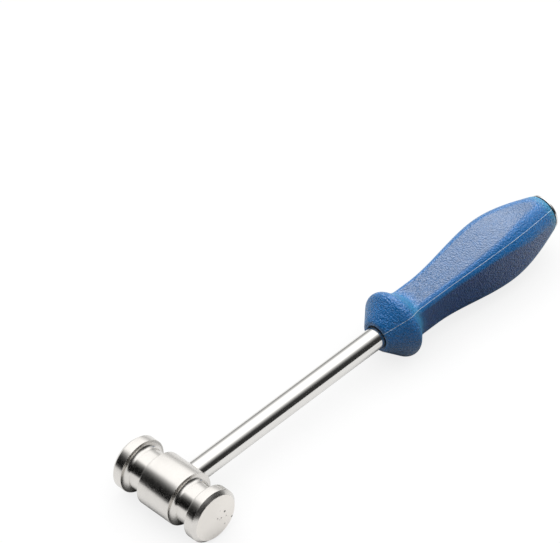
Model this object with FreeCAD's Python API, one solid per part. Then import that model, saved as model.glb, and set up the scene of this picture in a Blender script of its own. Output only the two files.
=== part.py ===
import FreeCAD, Part
import math
import os

from FreeCAD import Vector

# A surgical mallet, in millimetres. It is drawn first with the head's centre at the origin, the
# head's axis along X and the shaft along Y, and then laid on the floor as it comes to rest.

# Head, turned from one bar
head_radius = 15.0
head_length = 60.0
face_chamfer = 2.0
land_length = 5.2
barrel_length = 22.0
neck_radius = 11.5
cove_radius = 2.8
head_edge_break = 0.25

# Shaft, a plain round rod held in the head's side
shaft_radius = 6.0
socket_depth = 19.0
seat_clearance = 0.02

# Grip, one moulding. Stations along it are measured from its nose.
nose_from_head = 144.5
grip_length = 124.4
nose_radius = 9.0
nose_angle = 42.0
nose_edge_round = 2.0
bore_mouth = 1.0
collar_radius = 18.8
collar_rim_round = 4.3
collar_back_angle = 43.0
flare_radius = 9.5
flare_angle = 28.0
flare_end = 24.0
waist_radius = 13.2
waist_station = 33.5
belly_radius = 18.7
belly_station = 86.5
belly_reach = 13.0
butt_radius = 10.6
butt_reach = 12.0
butt_angle = 18.0
butt_edge_round = 0.5

# Four flats along the grip, given by their distance from the shaft's axis
flat_waist = 10.7
flat_belly = 16.1
flat_belly_station = 93.5
flat_butt = 11.1

# Butt cap, a steel disc with a low dome and a stem in the grip's bore
cap_radius = 10.1
cap_rim = 1.9
cap_edge_round = 0.35
cap_dome = 0.5
cap_stem = 9.0


def point(along, across):
    """A point in the XY plane, given by its place along the axis and its distance from it."""
    return Vector(along, across, 0)


def line(first, last):
    return Part.makeLine(first, last)


def bezier(*poles):
    curve = Part.BezierCurve()
    curve.setPoles(list(poles))
    return curve.toShape()


def arc(centre, radius, start_angle, end_angle):
    """An arc in the XY plane. Angles are in degrees, and it runs from start to end either way round."""
    angles = [start_angle, (start_angle + end_angle) / 2, end_angle]
    places = []
    for angle in angles:
        turn = math.radians(angle)
        places.append(centre + point(radius * math.cos(turn), radius * math.sin(turn)))
    return Part.Arc(*places).toShape()


def revolved(edges):
    """Turn a half section, whose ends lie on the X axis, once round that axis."""
    start = edges[0].firstVertex().Point
    ends = [edge.lastVertex().Point for edge in edges]
    closing = line(ends[-1], start)
    face = Part.Face(Part.Wire(edges + [closing]))
    return face.revolve(Vector(0, 0, 0), Vector(1, 0, 0), 360)


def chain(points):
    """Straight edges through a row of points."""
    return [line(first, last) for first, last in zip(points[:-1], points[1:])]


def along_shaft(shape):
    """Turn a shape drawn along X so that it lies along the shaft, which is Y."""
    turned = shape.copy()
    turned.rotate(Vector(0, 0, 0), Vector(0, 0, 1), 90)
    return turned


def edges_at_radius(shape, radius, places):
    """Circular edges round the X axis with this radius and these places along it."""
    found = []
    for edge in shape.Edges:
        if not isinstance(edge.Curve, Part.Circle):
            continue
        if abs(edge.Curve.Radius - radius) > 1e-4:
            continue
        if any(abs(edge.Curve.Center.x - place) < 1e-4 for place in places):
            found.append(edge)
    return found


def neck_edges(near, far):
    """Half section of one neck: a wall, a cove, the neck's cylinder, a cove and a wall."""
    cove_low = neck_radius + cove_radius
    start = point(near + cove_radius, cove_low)
    end = point(far - cove_radius, cove_low)
    edges = [line(point(near, head_radius), point(near, cove_low))]
    edges.append(arc(start, cove_radius, 180, 270))
    edges.append(line(start - point(0, cove_radius), end - point(0, cove_radius)))
    edges.append(arc(end, cove_radius, 270, 360))
    edges.append(line(point(far, cove_low), point(far, head_radius)))
    return edges


def head():
    half = head_length / 2
    barrel_end = barrel_length / 2
    land_outer = half - face_chamfer
    land_inner = land_outer - land_length
    chamfered = head_radius - face_chamfer
    edges = chain([point(-half, 0), point(-half, chamfered), point(-land_outer, head_radius),
                   point(-land_inner, head_radius)])
    edges += neck_edges(-land_inner, -barrel_end)
    edges.append(line(point(-barrel_end, head_radius), point(barrel_end, head_radius)))
    edges += neck_edges(barrel_end, land_inner)
    edges += chain([point(land_inner, head_radius), point(land_outer, head_radius),
                    point(half, chamfered), point(half, 0)])
    solid = revolved(edges)
    shoulders = [-land_inner, -barrel_end, barrel_end, land_inner]
    solid = solid.makeChamfer(head_edge_break, edges_at_radius(solid, head_radius, shoulders))
    socket_bottom = head_radius - socket_depth
    socket = Part.makeCylinder(shaft_radius + seat_clearance, 2 * socket_depth,
                               Vector(0, socket_bottom, 0), Vector(0, 1, 0))
    return solid.cut(socket)


def bore_bottom():
    """Where the shaft's upper end meets the cap's stem, measured from the head's axis."""
    return nose_from_head + grip_length - cap_stem


def shaft():
    start = head_radius - socket_depth
    return Part.makeCylinder(shaft_radius, bore_bottom() - start, Vector(0, start, 0), Vector(0, 1, 0))


def rim_centre():
    """Centre of the round rim's arc in the collar's half section."""
    turn = math.radians(nose_angle)
    height = collar_radius - collar_rim_round
    cone_rise = height + collar_rim_round * math.cos(turn) - nose_radius
    cone_end = nose_from_head + cone_rise / math.tan(turn)
    return point(cone_end + collar_rim_round * math.sin(turn), height)


def collar():
    """The nose and the finger collar: a cone, a round rim and a conical back."""
    rim = rim_centre()
    rim_arc = arc(rim, collar_rim_round, 90 + nose_angle, 90 - collar_back_angle)
    front = rim_arc.firstVertex().Point
    back = rim_arc.lastVertex().Point
    foot_radius = (shaft_radius + flat_waist) / 2
    foot = point(back.x + (back.y - foot_radius) / math.tan(math.radians(collar_back_angle)), foot_radius)
    edges = chain([point(nose_from_head, 0), point(nose_from_head, nose_radius), front])
    edges.append(rim_arc)
    edges += chain([back, foot, point(foot.x, 0)])
    solid = revolved(edges)
    return solid.makeFillet(nose_edge_round, edges_at_radius(solid, nose_radius, [nose_from_head]))


def handle():
    """The grip from the collar's rim to the butt, round in section, before its flats are cut."""
    start = rim_centre().x
    butt = nose_from_head + grip_length
    waist = nose_from_head + waist_station
    belly = nose_from_head + belly_station
    flare_turn = math.radians(flare_angle)
    flare_centre = point(nose_from_head + flare_end, waist_radius + flare_radius)
    flare_top = flare_centre - point(flare_radius * math.sin(flare_turn), flare_radius * math.cos(flare_turn))
    start_radius = flare_top.y + (flare_top.x - start) * math.tan(flare_turn)
    swell = (belly - waist) / 3
    butt_turn = math.radians(butt_angle)
    butt_pull = point(butt_reach * math.cos(butt_turn), -butt_reach * math.sin(butt_turn))
    edges = chain([point(start, 0), point(start, start_radius), flare_top])
    edges.append(arc(flare_centre, flare_radius, 270 - flare_angle, 270))
    edges.append(line(point(flare_centre.x, waist_radius), point(waist, waist_radius)))
    edges.append(bezier(point(waist, waist_radius), point(waist + swell, waist_radius),
                        point(belly - swell, belly_radius), point(belly, belly_radius)))
    edges.append(bezier(point(belly, belly_radius), point(belly + belly_reach, belly_radius),
                        point(butt, butt_radius) - butt_pull, point(butt, butt_radius)))
    edges.append(line(point(butt, butt_radius), point(butt, 0)))
    solid = revolved(edges)
    return solid.makeFillet(butt_edge_round, edges_at_radius(solid, butt_radius, [butt]))


def flats():
    """A bar with two opposite long sides shaped like the grip's flats. It is drawn along X."""
    start = rim_centre().x
    butt = nose_from_head + grip_length
    waist = nose_from_head + waist_station
    belly = nose_from_head + flat_belly_station
    swell = (belly - waist) / 3
    run_out = (butt - belly) / 3
    fall = flat_belly - flat_butt
    side = [line(point(start, flat_waist), point(waist, flat_waist))]
    side.append(bezier(point(waist, flat_waist), point(waist + swell, flat_waist),
                       point(belly - swell, flat_belly), point(belly, flat_belly)))
    side.append(bezier(point(belly, flat_belly), point(belly + run_out, flat_belly),
                       point(butt - run_out, flat_belly - fall / 3), point(butt, flat_butt)))
    side.append(line(point(butt, flat_butt), point(butt, 0)))
    side.append(line(point(butt, 0), point(start, 0)))
    side.append(line(point(start, 0), point(start, flat_waist)))
    reach = 2 * max(belly_radius, collar_radius)
    face = Part.Face(Part.Wire(side))
    half = face.extrude(Vector(0, 0, 2 * reach))
    half.translate(Vector(0, 0, -reach))
    other = half.mirror(Vector(0, 0, 0), Vector(0, 1, 0))
    return half.fuse(other).removeSplitter()


def grip():
    bar = flats()
    across = bar.copy()
    across.rotate(Vector(0, 0, 0), Vector(1, 0, 0), 90)
    solid = handle().common(bar).common(across).fuse(collar()).removeSplitter()
    bore_radius = shaft_radius + seat_clearance
    bore = Part.makeCylinder(bore_radius, 3 * grip_length, Vector(nose_from_head - grip_length, 0, 0),
                             Vector(1, 0, 0))
    mouth = Part.makeCone(bore_radius + bore_mouth, bore_radius, bore_mouth, point(nose_from_head, 0),
                          Vector(1, 0, 0))
    return along_shaft(solid.cut(bore).cut(mouth))


def butt_cap():
    seat = nose_from_head + grip_length
    tip = seat + cap_rim + cap_dome
    stem_start = bore_bottom()
    flat_radius = cap_radius - cap_edge_round
    near = point(seat + cap_edge_round, flat_radius)
    far = point(seat + cap_rim - cap_edge_round, flat_radius)
    edges = chain([point(stem_start, 0), point(stem_start, shaft_radius), point(seat, shaft_radius),
                   point(seat, flat_radius)])
    edges.append(arc(near, cap_edge_round, 180, 90))
    edges.append(line(near + point(0, cap_edge_round), far + point(0, cap_edge_round)))
    edges.append(arc(far, cap_edge_round, 90, 0))
    dome_radius = (flat_radius ** 2 + cap_dome ** 2) / (2 * cap_dome)
    half_angle = math.degrees(math.asin(flat_radius / dome_radius))
    edges.append(arc(point(tip - dome_radius, 0), dome_radius, half_angle, 0))
    return along_shaft(revolved(edges))


def lift_angle():
    """How far the shaft rises towards the grip, in radians, when head and collar lie on the floor."""
    rim = rim_centre()
    reach = math.hypot(rim.x, rim.y)
    return math.atan2(rim.y, rim.x) - math.asin((head_radius - collar_rim_round) / reach)


def lay_down(shape):
    """Turn the mallet about the head's axis until its collar touches the floor as well as its head,
    and move the middle of its outline on the floor to the origin."""
    lift = lift_angle()
    length = (nose_from_head + grip_length + cap_rim + cap_dome) * math.cos(lift)
    middle = (length - head_radius) / 2
    laid = shape.copy()
    laid.rotate(Vector(0, 0, 0), Vector(1, 0, 0), math.degrees(lift))
    laid.translate(Vector(0, -middle, head_radius))
    return laid


os.makedirs("parts", exist_ok=True)
pieces = {"head": head, "shaft": shaft, "grip": grip, "butt_cap": butt_cap}
for name, make in pieces.items():
    lay_down(make()).exportStep("parts/" + name + ".step")
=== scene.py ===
import math

import bmesh
import bpy
from mathutils import Matrix, Vector


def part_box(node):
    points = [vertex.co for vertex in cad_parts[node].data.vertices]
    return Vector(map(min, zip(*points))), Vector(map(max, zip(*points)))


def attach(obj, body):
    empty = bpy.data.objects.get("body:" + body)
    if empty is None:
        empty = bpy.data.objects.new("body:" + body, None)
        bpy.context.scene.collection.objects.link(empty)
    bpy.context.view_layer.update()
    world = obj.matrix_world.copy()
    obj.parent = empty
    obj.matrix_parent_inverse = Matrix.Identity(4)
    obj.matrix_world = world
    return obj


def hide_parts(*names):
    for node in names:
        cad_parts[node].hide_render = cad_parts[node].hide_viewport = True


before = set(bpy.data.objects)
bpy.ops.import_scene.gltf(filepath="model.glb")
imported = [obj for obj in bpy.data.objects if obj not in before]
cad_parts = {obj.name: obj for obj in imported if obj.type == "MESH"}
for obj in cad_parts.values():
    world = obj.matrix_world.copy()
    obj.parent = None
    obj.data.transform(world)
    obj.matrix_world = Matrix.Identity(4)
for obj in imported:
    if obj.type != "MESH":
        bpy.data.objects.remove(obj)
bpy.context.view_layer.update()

bl_info = {
    "name": "Bone mallet",
    "version": (1, 0, 0),
    "blender": (4, 5, 0),
    "location": "3D View > Sidebar > Mallet",
    "description": "A bone mallet with a turned steel head, a steel shaft and a moulded grip",
    "category": "Add Mesh",
}

# Lengths are in metres, in the frame's own axes: the head lies along X and the shaft along Y.

BODY = "root"
FULL_TURN = 2 * math.pi
MERGE_DISTANCE = 1e-7
PLANE_DISTANCE = 1e-6

# Steps round each turned piece
HEAD_STEPS = 256
ROD_STEPS = 128
GRIP_STEPS = 192
CURTAIN_STEPS = 96

HEAD_LOW, HEAD_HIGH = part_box("head")
HEAD_CENTRE = (HEAD_LOW + HEAD_HIGH) / 2
HEAD_RADIUS = (HEAD_HIGH.z - HEAD_LOW.z) / 2
HEAD_LENGTH = HEAD_HIGH.x - HEAD_LOW.x
SHAFT_LOW, SHAFT_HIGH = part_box("shaft")
SHAFT_RADIUS = (SHAFT_HIGH.x - SHAFT_LOW.x) / 2
GRIP_LOW, GRIP_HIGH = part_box("grip")
COLLAR_RADIUS = (GRIP_HIGH.x - GRIP_LOW.x) / 2
CAP_LOW, CAP_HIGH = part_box("butt_cap")


def length(name, about, default):
    """A length property in metres."""
    return bpy.props.FloatProperty(name=name, description=about, default=default, min=0.0,
                                   precision=5, unit="LENGTH")


def angle(name, about, degrees):
    """An angle property, whose default is given in degrees."""
    return bpy.props.FloatProperty(name=name, description=about, default=math.radians(degrees),
                                   subtype="ANGLE", unit="ROTATION")


def colour(name, about, red, green, blue):
    """A colour property in linear values."""
    return bpy.props.FloatVectorProperty(name=name, description=about, default=(red, green, blue),
                                         min=0.0, max=1.0, size=3, subtype="COLOR")


def share(name, about, default):
    """A factor from nothing to one."""
    return bpy.props.FloatProperty(name=name, description=about, default=default, min=0.0,
                                   max=1.0, subtype="FACTOR")


def number(name, about, default, low=0.0):
    """A plain number."""
    return bpy.props.FloatProperty(name=name, description=about, default=default, min=low)


class HeadSettings(bpy.types.PropertyGroup):
    """Sizes and finish of the turned head."""
    chamfer: length("Face chamfer", "Width of the chamfer round each striking face", 0.002)
    land: length("Land", "Length of the full-diameter land behind the chamfer", 0.0052)
    barrel: length("Barrel", "Length of the full-diameter part that takes the shaft", 0.022)
    neck_radius: length("Neck radius", "Radius of the two necks", 0.0115)
    cove: length("Cove", "Radius of the coves at the ends of each neck", 0.0028)
    shoulder_round: length("Shoulder round", "Rounding of the shoulders' edges", 0.0003)
    face_round: length("Face round", "Rounding of the edges of the chamfer", 0.00018)
    tint: colour("Steel", "Colour of the turned steel", 0.715, 0.693, 0.662)
    roughness: share("Roughness", "Roughness of the turned surface", 0.27)
    neck_roughness: share("Neck roughness", "Roughness of the two necks", 0.235)
    face_tint: colour("Face", "Colour of the matt striking faces", 0.84, 0.808, 0.765)
    face_roughness: share("Face roughness", "Roughness of the matt striking faces", 0.42)
    dent_depth: length("Dent depth", "Depth of the dents in the striking face", 0.00022)
    anisotropy: share("Anisotropy", "How much further light spreads across the marks", 0.35)


class ShaftSettings(bpy.types.PropertyGroup):
    """Sizes and finish of the shaft."""
    end_chamfer: length("End chamfer", "Chamfer of the rod's two ends", 0.0004)
    tint: colour("Steel", "Colour of the polished rod", 0.74, 0.728, 0.705)
    roughness: share("Roughness", "Roughness of the polished rod", 0.13)


class GripSettings(bpy.types.PropertyGroup):
    """Sizes and finish of the grip. Stations are measured from its nose."""
    nose_from_head: length("Nose from head", "From the head's axis to the nose", 0.1445)
    length: length("Length", "From the nose to the butt", 0.1244)
    nose_radius: length("Nose radius", "Radius of the flat nose", 0.009)
    nose_round: length("Nose round", "Rounding of the nose's edge", 0.002)
    bore_mouth: length("Bore mouth", "Chamfer where the shaft enters the nose", 0.001)
    nose_angle: angle("Nose angle", "Slope of the collar's front", 42.0)
    rim_round: length("Rim round", "Radius of the collar's round rim", 0.0043)
    back_angle: angle("Back angle", "Slope of the collar's back", 43.0)
    flare_radius: length("Flare radius", "Radius of the sweep from collar to waist", 0.0095)
    flare_angle: angle("Flare angle", "Turn of the sweep from collar to waist", 28.0)
    flare_end: length("Flare end", "Station where the waist begins", 0.024)
    waist_radius: length("Waist radius", "Radius across the waist's corners", 0.0132)
    waist_station: length("Waist station", "Where the waist begins to swell", 0.0335)
    belly_radius: length("Belly radius", "Radius across the belly's corners", 0.0187)
    belly_station: length("Belly station", "Where the corners are widest", 0.0865)
    belly_reach: length("Belly reach", "How long the belly holds its width", 0.013)
    butt_radius: length("Butt radius", "Radius at the butt", 0.0106)
    butt_reach: length("Butt reach", "How long the butt holds its slope", 0.012)
    butt_angle: angle("Butt angle", "Slope at the butt", 18.0)
    butt_round: length("Butt round", "Rounding of the butt's edge", 0.0005)
    flat_waist: length("Flats at the waist", "From the axis to a flat at the waist", 0.0107)
    flat_belly: length("Flats at the belly", "From the axis to a flat at the belly", 0.0161)
    flat_station: length("Flats' widest station", "Where the flats are furthest out", 0.0935)
    flat_butt: length("Flats at the butt", "From the axis to a flat at the butt", 0.0111)
    softness: length("Edge softness", "How softly the flats run into the corners", 0.0004)
    foot_softness: length("Foot softness", "How softly the collar runs into the waist", 0.0007)
    line_height: length("Line height", "Height of the mould's parting line", 0.00012)
    line_width: length("Line width", "Width of the mould's parting line", 0.00030)
    tint: colour("Plastic", "Colour of the plastic", 0.009, 0.250, 0.73)
    # Painted highlight: paler plastic at the butt and the collar's foot
    highlight_tint: colour("Painted highlight", "Colour of the butt and the collar's foot", 0.05, 0.46, 0.73)
    # Painted sheen: the upper and lower flats are greyer
    flat_sheen_tint: colour("Painted sheen", "Colour of the upper and lower flats", 0.052, 0.158, 0.375)
    # Painted shade: the two side flats are darker
    side_shade_tint: colour("Painted side shade", "Colour of the two flats at the sides", 0.056, 0.128, 0.44)
    line_tint: colour("Parting line", "Colour of the rubbed parting line", 0.75, 0.92, 1.0)
    roughness: share("Roughness", "Roughness of the plastic", 0.34)
    grain: length("Grain", "Size of one pebble of the leather grain", 0.00095)
    grain_depth: length("Grain depth", "Depth of the leather grain", 0.00037)


class CapSettings(bpy.types.PropertyGroup):
    """Sizes and finish of the butt cap."""
    rim: length("Rim", "Height of the cap's round rim", 0.0019)
    edge_round: length("Edge round", "Rounding of the rim's two edges", 0.00035)
    groove: length("Groove", "Width of the dark groove between grip and rim", 0.0007)
    groove_depth: length("Groove depth", "Depth of that groove", 0.0012)
    dome: length("Dome", "Rise of the cap's low dome", 0.0005)
    tint: colour("Steel", "Colour of the cap", 0.78, 0.775, 0.76)
    roughness: share("Roughness", "Roughness of the cap", 0.25)


class StageSettings(bpy.types.PropertyGroup):
    """Floor, lights and camera."""
    azimuth: angle("Azimuth", "Camera's direction round the mallet", 47.295)
    elevation: angle("Elevation", "Camera's height above the floor, as an angle", 42.496)
    roll: angle("Roll", "Camera's turn about its own axis", -3.076)
    distance: length("Distance", "From the camera to the point it looks at", 2.2653)
    focal: number("Focal length", "Lens on a 36 mm wide sensor, in millimetres", 292.98, 1.0)
    floor_tint: colour("Floor", "Colour of the floor as metal shows it", 0.12, 0.12, 0.12)
    floor_mirrored: share("Floor mirrored", "Light added to the floor as metal shows it", 0.95)
    floor_reach: length("Floor reach", "How far out metal shows the floor as bright", 0.45)
    waist_shade: bpy.props.FloatVectorProperty(
        name="Waist shade", description="Middle of the shade beside the waist, as gloss shows it",
        default=(0.032, 0.072, 0.0), size=3, subtype="TRANSLATION", unit="LENGTH")
    floor_bounce: colour("Floor bounce", "Colour of the light thrown back by the floor",
                         0.06, 0.06, 0.06)
    floor_lift: share("Floor lift", "Light added to the floor as the camera sees it", 0.97)
    # Direction of the painted light on the floor, as gloss shows it
    window: bpy.props.FloatVectorProperty(
        name="Window", description="Direction the floor is lit from", default=(0.50, 0.60, 0.62),
        size=3, subtype="DIRECTION")
    back_panel: number("Back panel", "Brightness of the back panel's surface", 4.9)
    panel_size: length("Panel size", "Side of the square back panel", 1.1)
    panel_distance: length("Panel distance", "From the origin to the back panel", 1.7)
    panel_elevation: angle("Panel elevation", "Height of the back panel, as an angle", 40.0)
    room: number("Room", "Brightness of the white room as metal shows it", 1.5)
    room_light: number("Room light", "Brightness of the white room as light", 1.4)


# Shapes

def lift_angle():
    """How far the shaft rises from head to grip, from where the shaft's two ends lie."""
    rise = (SHAFT_LOW.z + SHAFT_HIGH.z) / 2 - HEAD_CENTRE.z
    run = (SHAFT_LOW.y + SHAFT_HIGH.y) / 2 - HEAD_CENTRE.y
    return math.atan2(rise, run)


def shaft_middle():
    """Place of the shaft's middle along its own axis, from the head's axis."""
    return ((SHAFT_LOW.y + SHAFT_HIGH.y) / 2 - HEAD_CENTRE.y) / math.cos(lift_angle())


def mallet_place():
    """Takes the mallet's own axes, with the head's centre as origin, to where it lies."""
    return Matrix.Translation(HEAD_CENTRE) @ Matrix.Rotation(lift_angle(), 4, "X")


def arc(along, across, radius, start, end, steps=10):
    """Points of an arc in a half section. Angles are in degrees from the axis' direction."""
    points = []
    for step in range(steps + 1):
        turn = math.radians(start + (end - start) * step / steps)
        points.append((along + radius * math.cos(turn), across + radius * math.sin(turn)))
    return points


def divided(first, last, pitch):
    """Evenly spaced values from first up to, but without, last."""
    steps = max(1, round((last - first) / pitch))
    return [first + (last - first) * step / steps for step in range(steps)]


def turned(profile, axis, steps, closed=False):
    """Spin a half section of (along, across) points round an axis, and return the bmesh."""
    made = bmesh.new()
    along = Vector(axis)
    across = Vector((0, 0, 1))
    row = [made.verts.new(along * x + across * radius) for x, radius in profile]
    for first, last in zip(row[:-1], row[1:]):
        made.edges.new((first, last))
    if closed:
        made.edges.new((row[-1], row[0]))
    bmesh.ops.spin(made, geom=made.verts[:] + made.edges[:], cent=(0, 0, 0), axis=along,
                   dvec=(0, 0, 0), angle=FULL_TURN, steps=steps, use_merge=True,
                   use_duplicate=False)
    bmesh.ops.remove_doubles(made, verts=made.verts[:], dist=MERGE_DISTANCE)
    return made


def finished(made, name, material, node, sharp=35.0):
    """Place a bmesh in the frame, and make it the piece that stands for a CAD node. Edges that turn
    by more degrees than sharp stay sharp."""
    made.transform(mallet_place())
    bmesh.ops.recalc_face_normals(made, faces=made.faces[:])
    for face in made.faces:
        face.smooth = True
    for edge in made.edges:
        if len(edge.link_faces) == 2 and edge.calc_face_angle() > math.radians(sharp):
            edge.smooth = False
    mesh = bpy.data.meshes.new(name)
    made.to_mesh(mesh)
    made.free()
    mesh.materials.append(material)
    piece = bpy.data.objects.new(name, mesh)
    bpy.context.scene.collection.objects.link(piece)
    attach(piece, BODY)
    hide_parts(node)
    return piece


def head_profile(head):
    """Half section of the head from one striking face to the other."""
    half = HEAD_LENGTH / 2
    land_outer = half - head.chamfer
    land_inner = land_outer - head.land
    barrel_end = head.barrel / 2
    small = head.shoulder_round
    edge = head.face_round
    low = head.neck_radius + head.cove
    face = HEAD_RADIUS - head.chamfer
    bite = edge * math.tan(math.radians(22.5))
    right = [(0, HEAD_RADIUS)]
    right += arc(barrel_end - small, HEAD_RADIUS - small, small, 90, 0, 5)
    right += arc(barrel_end + head.cove, low, head.cove, 180, 270, 16)
    right += arc(land_inner - head.cove, low, head.cove, 270, 360, 16)
    right += arc(land_inner + small, HEAD_RADIUS - small, small, 180, 90, 5)
    right += arc(land_outer - bite, HEAD_RADIUS - edge, edge, 90, 45, 4)
    right += arc(half - edge, face - bite, edge, 45, 0, 4)
    right += [(half, radius) for radius in (0.010, 0.006, 0.002, 0)]
    left = [(-along, across) for along, across in reversed(right[1:])]
    return left + right


class MALLET_OT_head(bpy.types.Operator):
    """Turn the head with its necks, coves and chamfered faces"""
    bl_idname = "mallet.make_head"
    bl_label = "Head"

    def execute(self, context):
        head = context.scene.mallet_head
        made = turned(head_profile(head), (1, 0, 0), HEAD_STEPS)
        finished(made, "turned_head", turned_steel(head), "head", sharp=50.0)
        return {"FINISHED"}


class MALLET_OT_shaft(bpy.types.Operator):
    """Turn the plain round shaft"""
    bl_idname = "mallet.make_shaft"
    bl_label = "Shaft"

    def execute(self, context):
        shaft = context.scene.mallet_shaft
        ends_rise = 2 * SHAFT_RADIUS * math.sin(lift_angle())
        half = ((SHAFT_HIGH.y - SHAFT_LOW.y) - ends_rise) / 2 / math.cos(lift_angle())
        start = shaft_middle() - half
        end = shaft_middle() + half
        cut = shaft.end_chamfer
        inner = SHAFT_RADIUS - cut
        profile = [(start, 0), (start, inner), (start + cut, SHAFT_RADIUS)]
        profile += [(along, SHAFT_RADIUS) for along in divided(start + 2 * cut, end - cut, 0.01)]
        profile += [(end - cut, SHAFT_RADIUS), (end, inner), (end, 0)]
        made = turned(profile, (0, 1, 0), ROD_STEPS)
        finished(made, "polished_shaft", polished_steel(shaft), "shaft")
        return {"FINISHED"}


def eased(start, end, share_of_way):
    """A value that leaves start level and reaches end level."""
    return start + (end - start) * share_of_way ** 2 * (3 - 2 * share_of_way)


HALVINGS = 30


def bezier_height(poles, along):
    """Height of a plane cubic curve, whose places along the axis only grow, over one of them."""
    low, high = 0.0, 1.0
    for _ in range(HALVINGS):
        t = (low + high) / 2
        weights = ((1 - t) ** 3, 3 * t * (1 - t) ** 2, 3 * t * t * (1 - t), t ** 3)
        if sum(weight * pole[0] for weight, pole in zip(weights, poles)) < along:
            low = t
        else:
            high = t
    return sum(weight * pole[1] for weight, pole in zip(weights, poles))


def softly_larger(first, second, softness):
    """The larger of two lengths, with a rounded change from one to the other."""
    larger = max(first, second)
    return larger + softness * math.log(1 + math.exp((min(first, second) - larger) / softness))


# Over what difference in radius the painted sheen and shade of a flat fade out
CORNER_FADE = 0.0006
COLLAR_FADE = 0.005


class GripForm:
    """The grip's radius at any station and angle. Stations start at the nose."""

    def __init__(self, grip):
        self.grip = grip
        self.rim_height = COLLAR_RADIUS - grip.rim_round
        front_height = self.rim_height + grip.rim_round * math.cos(grip.nose_angle)
        self.front_end = (front_height - grip.nose_radius) / math.tan(grip.nose_angle)
        self.rim_centre = self.front_end + grip.rim_round * math.sin(grip.nose_angle)
        self.back_start = self.rim_centre + grip.rim_round * math.sin(grip.back_angle)
        self.back_height = self.rim_height + grip.rim_round * math.cos(grip.back_angle)

    def collar(self, along):
        """Radius of the nose cone, round rim and conical back."""
        if along < self.front_end:
            return self.grip.nose_radius + along * math.tan(self.grip.nose_angle)
        if along < self.back_start:
            rim = self.grip.rim_round ** 2 - (along - self.rim_centre) ** 2
            return self.rim_height + math.sqrt(max(rim, 0))
        return self.back_height - (along - self.back_start) * math.tan(self.grip.back_angle)

    def corner(self, along):
        """Radius of the round body across the corners, which begins inside the collar."""
        grip = self.grip
        if along < self.rim_centre:
            return 0.0
        if along < grip.flare_end:
            start = grip.flare_end - grip.flare_radius * math.sin(grip.flare_angle)
            base = grip.waist_radius + grip.flare_radius
            inside = max(along, start) - grip.flare_end
            radius = base - math.sqrt(grip.flare_radius ** 2 - inside ** 2)
            return radius + max(0, start - along) * math.tan(grip.flare_angle)
        if along < grip.waist_station:
            return grip.waist_radius
        if along < grip.belly_station:
            way = (along - grip.waist_station) / (grip.belly_station - grip.waist_station)
            return eased(grip.waist_radius, grip.belly_radius, way)
        pull = Vector((math.cos(grip.butt_angle), -math.sin(grip.butt_angle))) * grip.butt_reach
        end = Vector((grip.length, grip.butt_radius))
        poles = [(grip.belly_station, grip.belly_radius),
                 (grip.belly_station + grip.belly_reach, grip.belly_radius), end - pull, end]
        return bezier_height(poles, along)

    def flat(self, along):
        """Distance from the axis to a flat."""
        grip = self.grip
        if along < grip.waist_station:
            return grip.flat_waist
        if along < grip.flat_station:
            way = (along - grip.waist_station) / (grip.flat_station - grip.waist_station)
            return eased(grip.flat_waist, grip.flat_belly, way)
        way = (along - grip.flat_station) / (grip.length - grip.flat_station)
        fall = grip.flat_belly - grip.flat_butt
        return grip.flat_belly - fall * way ** 2 * (2 - way)

    def round_body(self, along):
        """Radius before the flats are pulled in."""
        return max(self.collar(along), self.corner(along))

    def flat_at(self, along, turn):
        """Distance from the axis to the nearest flat, measured at an angle."""
        return self.flat(along) / max(abs(math.cos(turn)), abs(math.sin(turn)))

    def radius(self, along, turn):
        """Radius at a station and an angle, with soft edges between flats and corners."""
        collar = self.collar(along)
        if along < self.rim_centre:
            return collar
        flat = self.flat_at(along, turn)
        body = -softly_larger(-self.corner(along), -flat, self.grip.softness)
        return softly_larger(body, collar, self.grip.foot_softness)

    def flatness(self, along, turn):
        """One on the flats, nothing on the corners and the collar, and some of it in between."""
        flat = self.flat_at(along, turn)
        below_corner = (self.corner(along) - flat) / CORNER_FADE
        above_collar = (flat - self.collar(along)) / COLLAR_FADE
        return min(max(below_corner, 0), 1) * min(max(above_collar, 0), 1)


def grip_profile(form):
    """Half section through a corner, from the bore at the nose to the bore at the butt."""
    grip = form.grip
    bore = SHAFT_RADIUS
    tight = grip.nose_round * math.tan((math.pi / 2 - grip.nose_angle) / 2)
    nose = arc(grip.nose_round, grip.nose_radius - tight, grip.nose_round, 180,
               90 + math.degrees(grip.nose_angle), 5)
    start = nose[-1][0]
    sweep_start, sweep_end = 0.012, 0.030
    butt_start = grip.length - grip.butt_round
    stations = divided(start, sweep_start, 0.0005)[1:]
    stations += divided(sweep_start, sweep_end, 0.00025)
    stations += divided(sweep_end, butt_start, 0.0007)
    body = [(along, form.round_body(along)) for along in stations]
    butt = arc(butt_start, grip.butt_radius - grip.butt_round, grip.butt_round, 80, 0, 4)
    mouth = [(grip.bore_mouth, bore), (0, bore + grip.bore_mouth)]
    return mouth + nose + body + butt + [(grip.length, bore)]


# The parting line runs along two opposite corners of the grip
ACROSS_LINE = Vector((1, 0, -1)).normalized()
NEAR_LINE = 1e-5


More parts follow.
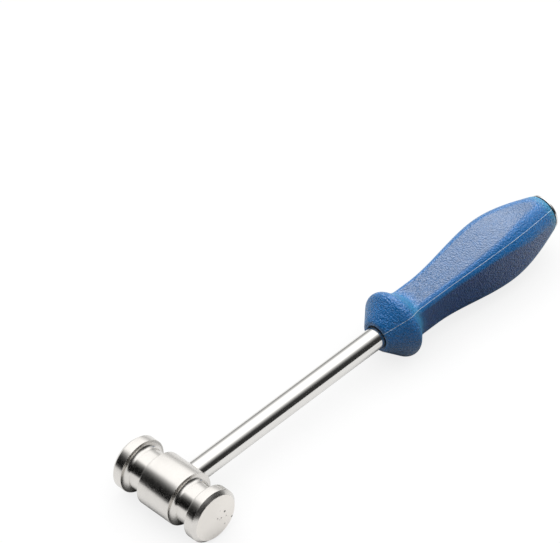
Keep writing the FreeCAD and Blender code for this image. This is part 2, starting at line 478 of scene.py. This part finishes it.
class MALLET_OT_grip(bpy.types.Operator):
    """Mould the grip: a collar, four soft flats and the mould's parting line"""
    bl_idname = "mallet.make_grip"
    bl_label = "Grip"

    def execute(self, context):
        grip = context.scene.mallet_grip
        form = GripForm(grip)
        made = turned(grip_profile(form), (0, 1, 0), GRIP_STEPS, closed=True)
        made.verts.layers.float.new("on_flat")
        self.cut_parting_line(made, grip)
        self.shape(made, form)
        made.transform(Matrix.Translation((0, grip.nose_from_head, 0)))
        piece = finished(made, "moulded_grip", grip_plastic(grip), "grip",
                         sharp=28.0)
        lit_by_panel().objects.link(piece)
        return {"FINISHED"}

    def cut_parting_line(self, made, grip):
        """Cut a pair of edge loops beside the diagonal, where the two halves of the mould met."""
        for side in (-1, 1):
            bmesh.ops.bisect_plane(made, geom=made.verts[:] + made.edges[:] + made.faces[:],
                                   dist=PLANE_DISTANCE, plane_no=ACROSS_LINE,
                                   plane_co=ACROSS_LINE * side * grip.line_width / 2)

    def shape(self, made, form):
        """Pull the round body in to its flats, and raise the parting line."""
        butt_start = form.grip.length - form.grip.butt_round
        on_flat = made.verts.layers.float["on_flat"]
        for vert in made.verts:
            out = Vector((vert.co.x, 0, vert.co.z))
            radius = out.length
            in_bore = radius < SHAFT_RADIUS * 1.01
            on_nose = vert.co.y < form.grip.nose_round * 0.9
            if in_bore or on_nose:
                continue
            turn = math.atan2(vert.co.z, vert.co.x)
            along = min(vert.co.y, butt_start)
            vert[on_flat] = form.flatness(along, turn)
            wanted = radius * form.radius(along, turn) / form.round_body(along)
            if abs(vert.co.dot(ACROSS_LINE)) < NEAR_LINE:
                wanted += form.grip.line_height
            vert.co += out.normalized() * (wanted - radius)


class MALLET_OT_cap(bpy.types.Operator):
    """Turn the domed cap and its stem"""
    bl_idname = "mallet.make_cap"
    bl_label = "Butt cap"

    def execute(self, context):
        cap = context.scene.mallet_cap
        grip = context.scene.mallet_grip
        radius = (CAP_HIGH.x - CAP_LOW.x) / 2
        seat = grip.nose_from_head + grip.length
        rim_start = seat + cap.groove
        half_shaft = (SHAFT_HIGH.y - SHAFT_LOW.y) / 2 / math.cos(lift_angle())
        bottom = shaft_middle() + half_shaft
        small = cap.edge_round
        flat_radius = radius - small
        inner = radius - cap.groove_depth
        profile = [(bottom, 0), (bottom, SHAFT_RADIUS), (seat, SHAFT_RADIUS), (seat, inner),
                   (rim_start, inner)]
        profile += arc(rim_start + small, flat_radius, small, 180, 90, 6)
        profile += arc(seat + cap.rim - small, flat_radius, small, 90, 0, 6)
        dome = (flat_radius ** 2 + cap.dome ** 2) / (2 * cap.dome)
        half_angle = math.degrees(math.asin(flat_radius / dome))
        profile += arc(seat + cap.rim + cap.dome - dome, 0, dome, half_angle, 0, 12)[1:]
        made = turned(profile, (0, 1, 0), ROD_STEPS)
        finished(made, "domed_butt_cap", cap_steel(cap, rim_start), "butt_cap")
        return {"FINISHED"}


# Materials

# Repeats of each noise in a metre
STEEL_FINE = 2600.0
STEEL_CLOUDS = 160.0
TURNED_RINGS = 3600.0
SPECKS = 1500.0
SPECK_PATCHES = 140.0
POLISH_STREAKS = 2200.0
POLISH_CLOUDS = 120.0
GRAIN_WARP = 700.0
PLASTIC_CLOUDS = 60.0
LINE_WEAR = 400.0
FLAT_PATCHES = 250.0

# Colours that cover only the dents, and painted shade in the groove, bore mouth and grain crevices
DENT_DARK = (0.05, 0.047, 0.042)
GROOVE_SHADE = (0.05, 0.05, 0.06)
MOUTH_SHADE = (0.004, 0.01, 0.02)
CREVICE_SHADE = (0.76, 0.85, 0.9, 1.0)


def join(tree, value, socket):
    """Give a socket either a plain value or another node's output."""
    if isinstance(value, bpy.types.NodeSocket):
        tree.links.new(value, socket)
    else:
        socket.default_value = value


def node(tree, kind, settings=None, inputs=None):
    """Add a shader node. An input takes either a value or another node's output."""
    made = tree.nodes.new(kind)
    for name, value in (settings or {}).items():
        setattr(made, name, value)
    for name, value in (inputs or {}).items():
        join(tree, value, made.inputs[name])
    return made


def maths(tree, operation, first, second=0.0):
    """The output of one Math node."""
    return node(tree, "ShaderNodeMath", {"operation": operation}, {0: first, 1: second}).outputs[0]


def plus(tree, first, second):
    return maths(tree, "ADD", first, second)


def minus(tree, first, second):
    return maths(tree, "SUBTRACT", first, second)


def times(tree, first, second):
    return maths(tree, "MULTIPLY", first, second)


def unsigned(tree, value):
    return maths(tree, "ABSOLUTE", value)


def vectors(tree, operation, first, second=None):
    """The output of one Vector Math node."""
    inputs = {0: first} if second is None else {0: first, 1: second}
    made = node(tree, "ShaderNodeVectorMath", {"operation": operation}, inputs)
    is_number = operation in ("DISTANCE", "DOT_PRODUCT", "LENGTH")
    return made.outputs["Value" if is_number else "Vector"]


def ranged(tree, value, low, high, to_low=0.0, to_high=1.0, smooth=False):
    """The output of a Map Range node, clamped."""
    kind = "SMOOTHSTEP" if smooth else "LINEAR"
    made = node(tree, "ShaderNodeMapRange", {"interpolation_type": kind},
                {"Value": value, "From Min": low, "From Max": high,
                 "To Min": to_low, "To Max": to_high})
    return made.outputs["Result"]


def noise(tree, vector, scale, detail=2.0, roughness=0.5, output=0):
    """The value or the colour of a noise texture."""
    made = node(tree, "ShaderNodeTexNoise", {}, {"Vector": vector, "Scale": scale,
                                                 "Detail": detail, "Roughness": roughness})
    return made.outputs[output]


def blended(tree, factor, first, second):
    """Mix two colours."""
    made = node(tree, "ShaderNodeMix", {"data_type": "RGBA"}, {"Factor": factor})
    for socket, value in ((made.inputs[6], first), (made.inputs[7], second)):
        join(tree, value if isinstance(value, bpy.types.NodeSocket) else (*value, 1.0), socket)
    return made.outputs[2]


def darkened(tint, part):
    """A colour that keeps only a part of its light."""
    return tuple(value * part for value in tint)


def off_axis(tree, first, second):
    """Distance from an axis, from the two coordinates across it."""
    squares = plus(tree, times(tree, first, first), times(tree, second, second))
    return maths(tree, "SQRT", squares)


def uneven(tree, middle, spread, fine):
    """A value that noise varies by a spread either way."""
    return plus(tree, middle - spread, times(tree, fine, 2 * spread))


def new_material(name):
    """A material with one Principled shader, its tree, that shader and the mallet's own axes."""
    material = bpy.data.materials.new(name)
    material.use_nodes = True
    tree = material.node_tree
    shader = tree.nodes["Principled BSDF"]
    place = node(tree, "ShaderNodeTexCoord").outputs["Object"]
    own = node(tree, "ShaderNodeMapping", {"vector_type": "TEXTURE"},
               {"Vector": place, "Location": HEAD_CENTRE, "Rotation": (lift_angle(), 0, 0)})
    return material, tree, shader, own.outputs["Vector"]


def bumped(tree, shader, height, strength, distance):
    """Join a height to the shader's normal."""
    bump = node(tree, "ShaderNodeBump", {},
                {"Height": height, "Strength": strength, "Distance": distance})
    tree.links.new(bump.outputs["Normal"], shader.inputs["Normal"])


# Dents in the striking face: across, up and radius, in metres from the face's centre
DENTS = ((0.0062, 0.0000, 0.00072), (0.0106, -0.0069, 0.00066), (0.0011, -0.0014, 0.00048),
         (0.0036, -0.0027, 0.00048), (0.0025, -0.0032, 0.00036), (0.0055, -0.0081, 0.00042),
         (0.0069, -0.0036, 0.00042), (0.0033, 0.0025, 0.00032))
FULL_DENT = 0.0007  # a dent with a smaller radius is shallower
RAGGED = 0.8  # how far a dent's edge wanders, as a share of its radius


def dents_in_face(tree, own, fine):
    """Depth of the dents in the striking face, from nothing to one."""
    deepest = None
    for across, up, size in DENTS:
        away = vectors(tree, "DISTANCE", own, (HEAD_LENGTH / 2, across, up))
        ragged = plus(tree, away, times(tree, fine, size * RAGGED))
        depth = min(1.0, size / FULL_DENT)
        dent = ranged(tree, ragged, size * 0.7, size * 1.6, depth, 0.0, True)
        deepest = dent if deepest is None else maths(tree, "MAXIMUM", deepest, dent)
    return deepest


RADIAL_FEED = 0.7  # rings across a face, for each one along the axis
ROUND_REPEATS = 4.0  # repeats in one radius, going round


def turning_marks(tree, axes, radius):
    """Noise that changes fast along the tool's feed and slowly round the head's axis."""
    feed = plus(tree, axes[0], times(tree, radius, RADIAL_FEED))
    round_y, round_z = [times(tree, maths(tree, "DIVIDE", axis, radius), ROUND_REPEATS)
                        for axis in (axes[1], axes[2])]
    place = node(tree, "ShaderNodeCombineXYZ", {},
                 {0: times(tree, feed, TURNED_RINGS), 1: round_y, 2: round_z}).outputs[0]
    return noise(tree, place, 1.0)


def specks_on_lands(tree, own, radius):
    """Height of the few fine specks on the head's largest radius, as a share of a dent's depth."""
    outside = HEAD_RADIUS - 0.0002
    specks = ranged(tree, noise(tree, own, SPECKS, 3.0, 0.6), 0.66, 0.76)
    in_patches = ranged(tree, noise(tree, own, SPECK_PATCHES), 0.48, 0.62)
    height = ranged(tree, radius, outside - 0.0006, outside, 0.0, 0.009)
    return times(tree, times(tree, specks, in_patches), height)


def spread_across_marks(tree, shader, head):
    """Spread the light that the head mirrors across its turning marks."""
    place = node(tree, "ShaderNodeTexCoord").outputs["Object"]
    out = vectors(tree, "SUBTRACT", place, HEAD_CENTRE)
    ring = vectors(tree, "CROSS_PRODUCT", (1.0, 0.0, 0.0), out)
    tree.links.new(vectors(tree, "NORMALIZE", ring), shader.inputs["Tangent"])
    shader.inputs["Anisotropic"].default_value = head.anisotropy
    shader.inputs["Anisotropic Rotation"].default_value = 0.25


def turned_steel(head):
    """Finely turned stainless steel, with matt striking faces that chisels have marked."""
    material, tree, shader, own = new_material("turned_steel")
    axes = node(tree, "ShaderNodeSeparateXYZ", {}, {0: own}).outputs
    radius = off_axis(tree, axes[1], axes[2])
    face_start = HEAD_LENGTH / 2 - 0.0002
    on_face = ranged(tree, unsigned(tree, axes[0]), face_start, face_start + 0.0001)
    fine = noise(tree, own, STEEL_FINE, 3.0)
    dents = dents_in_face(tree, own, fine)

    steel = tuple(head.tint)
    rings = turning_marks(tree, axes, radius)
    cloud = noise(tree, own, STEEL_CLOUDS, 3.0)
    mottle = ranged(tree, times(tree, plus(tree, cloud, rings), 0.5), 0.35, 0.65)
    base = blended(tree, mottle, darkened(steel, 0.93), steel)
    base = blended(tree, on_face, base, tuple(head.face_tint))
    # The dents are darker
    base = blended(tree, dents, base, DENT_DARK)
    tree.links.new(base, shader.inputs["Base Color"])
    shader.inputs["Metallic"].default_value = 1.0

    turned_rough = ranged(tree, radius, head.neck_radius + 0.0005, HEAD_RADIUS - 0.001,
                          head.neck_roughness, head.roughness)
    face_rough = uneven(tree, head.face_roughness, 0.04, fine)
    rough = node(tree, "ShaderNodeMix", {"data_type": "FLOAT"},
                 {"Factor": on_face, "A": turned_rough, "B": face_rough}).outputs[0]
    tree.links.new(rough, shader.inputs["Roughness"])
    height = minus(tree, specks_on_lands(tree, own, radius), dents)
    bumped(tree, shader, height, 1.0, head.dent_depth)
    spread_across_marks(tree, shader, head)
    return material


POLISH_SPREAD = 0.015
POLISH_RELIEF = 0.00005


def polished(name, settings):
    """A polished material, its tree, shader and own axes, and its colour."""
    material, tree, shader, own = new_material(name)
    stretched = node(tree, "ShaderNodeMapping", {}, {"Vector": own, "Scale": (1.0, 0.05, 1.0)})
    streaks = noise(tree, stretched.outputs["Vector"], POLISH_STREAKS)
    cloud = noise(tree, own, POLISH_CLOUDS, 3.0)
    tint = tuple(settings.tint)
    steel = blended(tree, cloud, darkened(tint, 0.95), tint)
    tree.links.new(steel, shader.inputs["Base Color"])
    shader.inputs["Metallic"].default_value = 1.0
    rough = ranged(tree, streaks, 0.3, 0.7, settings.roughness - POLISH_SPREAD,
                   settings.roughness + POLISH_SPREAD)
    tree.links.new(rough, shader.inputs["Roughness"])
    bumped(tree, shader, streaks, 0.04, POLISH_RELIEF)
    return material, tree, shader, own, steel


def polished_steel(shaft):
    """Polished stainless steel, with the faintest marks along it."""
    return polished("polished_steel", shaft)[0]


def cap_steel(cap, rim_start):
    """The cap's steel, with painted shade in the groove before its rim."""
    material, tree, shader, own, steel = polished("cap_steel", cap)
    along = node(tree, "ShaderNodeSeparateXYZ", {}, {0: own}).outputs[1]
    # Painted shade in the groove
    in_groove = ranged(tree, along, rim_start + 0.00002, rim_start + 0.0001, 1.0, 0.0)
    tree.links.new(blended(tree, in_groove, steel, GROOVE_SHADE), shader.inputs["Base Color"])
    return material


def leather(tree, own, grain):
    """Distance from the middle of each pebble of a leather grain."""
    warp = noise(tree, own, GRAIN_WARP, output="Color")
    warp = vectors(tree, "SUBTRACT", warp, (0.5, 0.5, 0.5))
    warp = node(tree, "ShaderNodeVectorMath", {"operation": "SCALE"},
                {0: warp, "Scale": grain * 1.2}).outputs[0]
    bent = vectors(tree, "ADD", own, warp)
    pebbles = node(tree, "ShaderNodeTexVoronoi", {"feature": "SMOOTH_F1"},
                   {"Vector": bent, "Scale": 1.0 / grain, "Smoothness": 0.5})
    return pebbles.outputs["Distance"]


def blue_with_painted_highlight(tree, own, station, grip):
    """The plastic's colour, paler at the butt and the collar's foot for a painted highlight."""
    foot_station = 0.019
    blue = tuple(grip.tint)
    base = blended(tree, noise(tree, own, PLASTIC_CLOUDS, 3.0), darkened(blue, 0.8), blue)
    # Painted highlight, paler towards the butt and round the collar's foot
    at_butt = ranged(tree, station, grip.length - 0.006, grip.length - 0.001, 0.0, 0.75)
    off_foot = unsigned(tree, minus(tree, station, foot_station))
    at_foot = ranged(tree, off_foot, 0.001, 0.006, 0.4, 0.0)
    return blended(tree, maths(tree, "MAXIMUM", at_butt, at_foot), base, tuple(grip.highlight_tint))


def worn_line(tree, own, axes, grip):
    """One on the mould's parting line, and less where it is still blue."""
    off_line = times(tree, unsigned(tree, minus(tree, axes[0], axes[2])), math.sqrt(0.5))
    on_line = ranged(tree, off_line, grip.line_width * 0.25, grip.line_width * 0.6, 1.0, 0.0)
    return times(tree, on_line, ranged(tree, noise(tree, own, LINE_WEAR), 0.3, 0.6, 0.55, 1.0))


def grain_height(tree, station, on_flat, on_side, grip):
    """How high the grain stands: most on the collar and the sides, and least on the top's belly."""
    off_waist = unsigned(tree, minus(tree, station, grip.waist_station))
    upper_height = ranged(tree, off_waist, 0.004, 0.030, 1.0, 0.55, True)
    flat_height = ranged(tree, on_side, 0.0, 1.0, upper_height, 1.7)
    round_height = ranged(tree, station, 0.014, 0.019, 1.45, 1.0)
    return ranged(tree, on_flat, 0.0, 1.0, round_height, flat_height)


def grip_plastic(grip):
    """Blue plastic: leather grain, painted sheen and shade on the flats, a rubbed parting line."""
    material, tree, shader, own = new_material("grip_plastic")
    axes = node(tree, "ShaderNodeSeparateXYZ", {}, {0: own}).outputs
    station = minus(tree, axes[1], grip.nose_from_head)
    pebbles = leather(tree, own, grip.grain)
    fine = noise(tree, own, 2.4 / grip.grain)
    on_flat = node(tree, "ShaderNodeAttribute", {"attribute_name": "on_flat"}).outputs["Fac"]
    sideways = minus(tree, unsigned(tree, axes[0]), unsigned(tree, axes[2]))
    on_side = ranged(tree, sideways, 0.0, 0.003)

    base = blue_with_painted_highlight(tree, own, station, grip)
    # Painted sheen on the upper and lower flats and painted shade on the side flats, in patches
    rubbed = blended(tree, on_side, tuple(grip.flat_sheen_tint), tuple(grip.side_shade_tint))
    patchy = ranged(tree, noise(tree, own, FLAT_PATCHES, 3.0), 0.3, 0.7, 0.75, 1.0)
    base = blended(tree, times(tree, on_flat, patchy), base, rubbed)
    crevice = ranged(tree, plus(tree, pebbles, times(tree, fine, 0.3)), 0.35, 0.85)
    shade = node(tree, "ShaderNodeMix", {"data_type": "RGBA", "blend_type": "MULTIPLY"},
                 {"Factor": crevice, 6: base, 7: CREVICE_SHADE})
    base = blended(tree, worn_line(tree, own, axes, grip), shade.outputs[2],
                   tuple(grip.line_tint))
    off_shaft = minus(tree, off_axis(tree, axes[0], axes[2]), SHAFT_RADIUS)
    in_mouth = ranged(tree, off_shaft, 0.0005, 0.0012, 0.85, 0.0)
    tree.links.new(blended(tree, in_mouth, base, MOUTH_SHADE), shader.inputs["Base Color"])

    tree.links.new(uneven(tree, grip.roughness, 0.05, fine), shader.inputs["Roughness"])
    shader.inputs["Specular IOR Level"].default_value = 0.62
    shader.inputs["Sheen Weight"].default_value = 0.25
    shader.inputs["Sheen Tint"].default_value = (0.2, 0.7, 1.0, 1.0)
    relief = plus(tree, times(tree, pebbles, -1.0), times(tree, fine, 0.2))
    height = times(tree, relief, grain_height(tree, station, on_flat, on_side, grip))
    bumped(tree, shader, height, 1.0, grip.grain_depth)
    return material


def plain_material(name, shade):
    """A material with a Diffuse and an Emission shader added together, and its parts."""
    material = bpy.data.materials.new(name)
    material.use_nodes = True
    tree = material.node_tree
    tree.nodes.clear()
    diffuse = node(tree, "ShaderNodeBsdfDiffuse", {}, {"Color": (*shade, 1.0)})
    glow = node(tree, "ShaderNodeEmission", {}, {"Color": (1.0, 1.0, 1.0, 1.0), "Strength": 0.0})
    both = node(tree, "ShaderNodeAddShader", {}, {0: diffuse.outputs[0], 1: glow.outputs[0]})
    node(tree, "ShaderNodeOutputMaterial", {}, {"Surface": both.outputs[0]})
    return material, tree, diffuse, glow


# Stage

FLOOR_HALF = 12.0
CONTACT_REACH = 0.03  # how near the mallet the floor is shaded by it
SHADOW_LIGHT = 0.84  # light left in the deepest shadow
WAIST_SHADE_EDGE = (0.01, 0.05)  # from where to where the shade beside the waist fades
WAIST_SHADE_LIGHT = 0.2  # light left in the middle of that shade
CURTAIN_RADIUS = 3.0
CURTAIN_TOP = 64  # degrees above the floor
AIM_FROM_HEAD = Vector((-0.012379, 0.091069, 0.077342))

# The curtain's shades, in four quarters as the camera sees them: at the back on the left and on
# the right, and at the front on the left and on the right
DARK_UP_TO = (8, 8, 35, 31)  # degrees above the floor
WHITE_FROM = (40, 27, 62, 60)  # degrees above the floor
DARKEST = (0.4, 0.70, 0.0, 0.035)

# Where one quarter runs over into the next, in radii towards the camera and towards its right
INTO_FRONT = (-0.55, -0.15)
INTO_RIGHT = (-0.17, 0.1)


def stage_object(made, name, material):
    """Make a bmesh part of the stage."""
    mesh = bpy.data.meshes.new(name)
    made.to_mesh(mesh)
    made.free()
    mesh.materials.append(material)
    piece = bpy.data.objects.new(name, mesh)
    bpy.context.scene.collection.objects.link(piece)
    return piece


def facing(azimuth, elevation):
    """Direction from the mallet at an azimuth and elevation, as the camera's are given."""
    return Vector((math.sin(azimuth) * math.cos(elevation),
                   -math.cos(azimuth) * math.cos(elevation), math.sin(elevation)))


def openness(tree, normal=None):
    """How free of the mallet a point of the floor is, over the side that a normal faces."""
    inputs = {"Distance": CONTACT_REACH}
    if normal is not None:
        inputs["Normal"] = normal
    return node(tree, "ShaderNodeAmbientOcclusion", {"samples": 8}, inputs).outputs["AO"]


def floor(stage):
    """A white floor with the mallet's painted shadow. Metal and gloss show it with painted shades.
    """
    made = bmesh.new()
    bmesh.ops.create_grid(made, x_segments=1, y_segments=1, size=FLOOR_HALF)
    bounce = tuple(stage.floor_bounce)
    material, tree, diffuse, glow = plain_material("floor", bounce)
    ray = node(tree, "ShaderNodeLightPath").outputs
    place = node(tree, "ShaderNodeTexCoord").outputs["Object"]
    mirrored = maths(tree, "MAXIMUM", ray["Is Glossy Ray"], ray["Is Transmission Ray"])
    away = vectors(tree, "LENGTH", place)
    near = ranged(tree, away, stage.floor_reach, stage.floor_reach * 2.5, 1.0, 0.0, True)
    from_waist = vectors(tree, "DISTANCE", place, stage.waist_shade)
    beside = ranged(tree, from_waist, *WAIST_SHADE_EDGE, WAIST_SHADE_LIGHT, 1.0, True)
    mirrored = times(tree, mirrored, times(tree, near, beside))
    tree.links.new(blended(tree, mirrored, bounce, tuple(stage.floor_tint)),
                   diffuse.inputs["Color"])
    # Painted shadow: the glow the camera sees dims near the mallet, over a faint real shadow
    in_shadow = stage.floor_lift * SHADOW_LIGHT
    lift = ranged(tree, openness(tree), 0.2, 0.95, in_shadow, stage.floor_lift)
    seen = times(tree, ray["Is Camera Ray"], lift)
    # Painted light and shade on the floor as gloss shows it, lit from the given direction
    lit = ranged(tree, openness(tree, stage.window), 0.27, 0.82, 0.0, stage.floor_mirrored, True)
    tree.links.new(plus(tree, seen, times(tree, mirrored, lit)), glow.inputs["Strength"])
    return stage_object(made, "floor", material)


def curtain_height(degrees):
    """Height on the curtain of an elevation in degrees."""
    return CURTAIN_RADIUS * math.tan(math.radians(degrees))


def curtain(stage):
    """A round curtain, dark up to one elevation and white from another. Both sink from the camera's
    side to the back, and differ between left and right."""
    made = bmesh.new()
    row = [made.verts.new((CURTAIN_RADIUS, 0, height))
           for height in (0.0, curtain_height(CURTAIN_TOP))]
    rod = made.edges.new(row)
    bmesh.ops.spin(made, geom=row + [rod], cent=(0, 0, 0), axis=(0, 0, 1), dvec=(0, 0, 0),
                   angle=FULL_TURN, steps=CURTAIN_STEPS, use_merge=True, use_duplicate=False)
    material, tree, _, glow = plain_material("curtain", (0.01, 0.01, 0.01))
    place = node(tree, "ShaderNodeTexCoord").outputs["Object"]
    height = node(tree, "ShaderNodeSeparateXYZ", {}, {0: place}).outputs[2]
    to_camera, to_right = [vectors(tree, "DOT_PRODUCT", place, facing(stage.azimuth + turn, 0.0))
                           for turn in (0.0, math.pi / 2)]
    front, right = [ranged(tree, towards, first * CURTAIN_RADIUS, last * CURTAIN_RADIUS,
                           smooth=True)
                    for towards, (first, last) in ((to_camera, INTO_FRONT), (to_right, INTO_RIGHT))]

    def around(back_left, back_right, front_left, front_right):
        back = ranged(tree, right, 0.0, 1.0, back_left, back_right)
        before = ranged(tree, right, 0.0, 1.0, front_left, front_right)
        return plus(tree, back, times(tree, front, minus(tree, before, back)))

    low = around(*map(curtain_height, DARK_UP_TO))
    high = around(*map(curtain_height, WHITE_FROM))
    darkest = around(*DARKEST)
    rise = maths(tree, "POWER", ranged(tree, height, low, high), 1.5)
    span = times(tree, rise, minus(tree, stage.room, darkest))
    tree.links.new(plus(tree, darkest, span), glow.inputs["Strength"])
    material.cycles.emission_sampling = "NONE"
    hung = stage_object(made, "curtain", material)
    hung.visible_camera = False
    return hung


def lit_by_panel():
    """The collection of pieces that the panel shines on."""
    name = "lit_by_panel"
    return bpy.data.collections.get(name) or bpy.data.collections.new(name)


def back_panel(stage):
    """A soft square panel behind the mallet. Its brightness is that of its surface."""
    lamp = bpy.data.lights.new("back_panel", "AREA")
    lamp.shape = "SQUARE"
    lamp.size = stage.panel_size
    lamp.energy = math.pi * stage.panel_size ** 2 * stage.back_panel
    direction = facing(stage.azimuth + math.pi, stage.panel_elevation)
    hung = bpy.data.objects.new("back_panel", lamp)
    hung.location = direction * stage.panel_distance
    hung.rotation_mode = "QUATERNION"
    hung.rotation_quaternion = direction.to_track_quat("Z", "Y")
    hung.visible_camera = False
    hung.visible_diffuse = False
    hung.light_linking.receiver_collection = lit_by_panel()
    bpy.context.scene.collection.objects.link(hung)
    return hung


def room(stage):
    """The white room, as the world."""
    world = bpy.data.worlds.new("room")
    world.use_nodes = True
    tree = world.node_tree
    background = tree.nodes["Background"]
    background.inputs["Color"].default_value = (1.0, 1.0, 1.0, 1.0)
    ray = node(tree, "ShaderNodeLightPath").outputs
    unseen = ranged(tree, ray["Is Diffuse Ray"], 0.0, 1.0, stage.room, stage.room_light)
    strength = node(tree, "ShaderNodeMix", {"data_type": "FLOAT"},
                    {"Factor": ray["Is Camera Ray"], "A": unseen, "B": 1.0})
    tree.links.new(strength.outputs[0], background.inputs["Strength"])
    bpy.context.scene.world = world


def camera(stage):
    """The camera, aimed at a point above the shaft that is fixed to the mallet's own axes."""
    lens = bpy.data.cameras.new("camera")
    lens.sensor_width = 36.0
    lens.lens = stage.focal
    lens.clip_start = 0.05
    lens.clip_end = 50.0
    seen_from = bpy.data.objects.new("camera", lens)
    bpy.context.scene.collection.objects.link(seen_from)
    back = facing(stage.azimuth, stage.elevation)
    seen_from.location = HEAD_CENTRE + AIM_FROM_HEAD + back * stage.distance
    seen_from.rotation_mode = "QUATERNION"
    level = (-back).to_track_quat("-Z", "Y")
    roll = Matrix.Rotation(stage.roll, 3, "Z").to_quaternion()
    seen_from.rotation_quaternion = level @ roll
    bpy.context.scene.camera = seen_from


class MALLET_OT_stage(bpy.types.Operator):
    """Lay the floor, hang the curtain and the panel, and place the camera"""
    bl_idname = "mallet.make_stage"
    bl_label = "Stage"

    def execute(self, context):
        stage = context.scene.mallet_stage
        floor(stage)
        curtain(stage)
        back_panel(stage)
        room(stage)
        camera(stage)
        context.scene.view_settings.view_transform = "Standard"
        return {"FINISHED"}


class MALLET_PT_pieces(bpy.types.Panel):
    """The pieces of the mallet and the stage"""
    bl_idname = "MALLET_PT_pieces"
    bl_label = "Bone mallet"
    bl_space_type = "VIEW_3D"
    bl_region_type = "UI"
    bl_category = "Mallet"

    def draw(self, context):
        for settings, operator in PIECES:
            box = self.layout.box()
            group = getattr(context.scene, settings)
            for name in group.bl_rna.properties.keys():
                if name not in ("rna_type", "name"):
                    box.prop(group, name)
            box.operator(operator)


PIECES = (("mallet_stage", "mallet.make_stage"), ("mallet_head", "mallet.make_head"),
          ("mallet_shaft", "mallet.make_shaft"), ("mallet_grip", "mallet.make_grip"),
          ("mallet_cap", "mallet.make_cap"))
SETTINGS = {"mallet_stage": StageSettings, "mallet_head": HeadSettings,
            "mallet_shaft": ShaftSettings, "mallet_grip": GripSettings, "mallet_cap": CapSettings}
CLASSES = (*SETTINGS.values(), MALLET_OT_stage, MALLET_OT_head, MALLET_OT_shaft, MALLET_OT_grip,
           MALLET_OT_cap, MALLET_PT_pieces)


def register():
    for entry in CLASSES:
        bpy.utils.register_class(entry)
    for name, group in SETTINGS.items():
        setattr(bpy.types.Scene, name, bpy.props.PointerProperty(type=group))


def unregister():
    for name in SETTINGS:
        delattr(bpy.types.Scene, name)
    for entry in reversed(CLASSES):
        bpy.utils.unregister_class(entry)


def main():
    """Register the classes and make every piece."""
    register()
    bpy.ops.mallet.make_stage()
    bpy.ops.mallet.make_head()
    bpy.ops.mallet.make_shaft()
    bpy.ops.mallet.make_grip()
    bpy.ops.mallet.make_cap()


if __name__ == "__main__":
    main()
